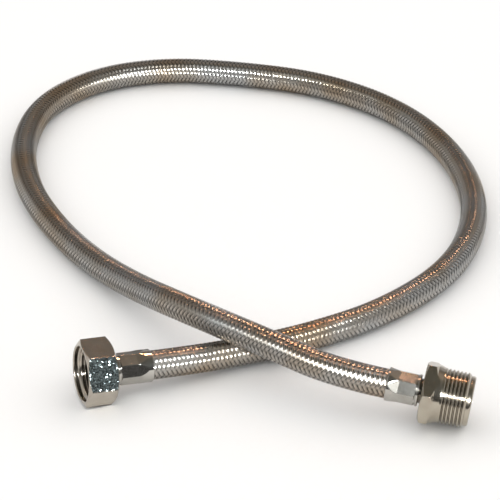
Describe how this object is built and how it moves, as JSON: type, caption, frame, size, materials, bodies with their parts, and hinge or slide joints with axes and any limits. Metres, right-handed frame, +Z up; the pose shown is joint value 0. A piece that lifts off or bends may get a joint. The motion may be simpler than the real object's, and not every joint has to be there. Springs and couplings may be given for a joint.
{
  "type": "braided supply line",
  "caption": "Flexible braided hose lying in a loose loop, with a hexagon swivel nut on one end and a hexagon male threaded fitting on the other.",
  "frame": {"origin": "middle of the two fittings' box, on the surface that the line lies on", "axes": "+X from the nut's end towards the male end, +Y towards the far side of the loop, +Z up"},
  "size_m": [0.2193, 0.2907, 0.0267],
  "materials": {
    "plated_nut": "bright nickel plate with hammered flats",
    "plated_adapter": "satin nickel plate",
    "tail_brass": "bare turned brass",
    "ferrule_steel": "polished stainless steel",
    "braid_steel": "bright woven stainless wire",
    "liner_rubber": "matt black",
    "washer_rubber": "matt black"
  },
  "bodies": {
    "line": {"wire_braid": "braid_steel", "inner_hose": "liner_rubber", "flanged_tail": "tail_brass", "nut_end_ferrule": "ferrule_steel", "male_end_ferrule": "ferrule_steel", "male_adapter": "plated_adapter", "sealing_washer": "washer_rubber"},
    "nut": {"swivel_nut": "plated_nut"}
  },
  "joints": [
    {"name": "nut_spin", "type": "hinge", "parent": "line", "child": "nut", "pos_m": [-0.06608, 0.00821, 0.0121], "axis": [-0.9377, -0.3329, 0.0999], "continuous": true}
  ]
}
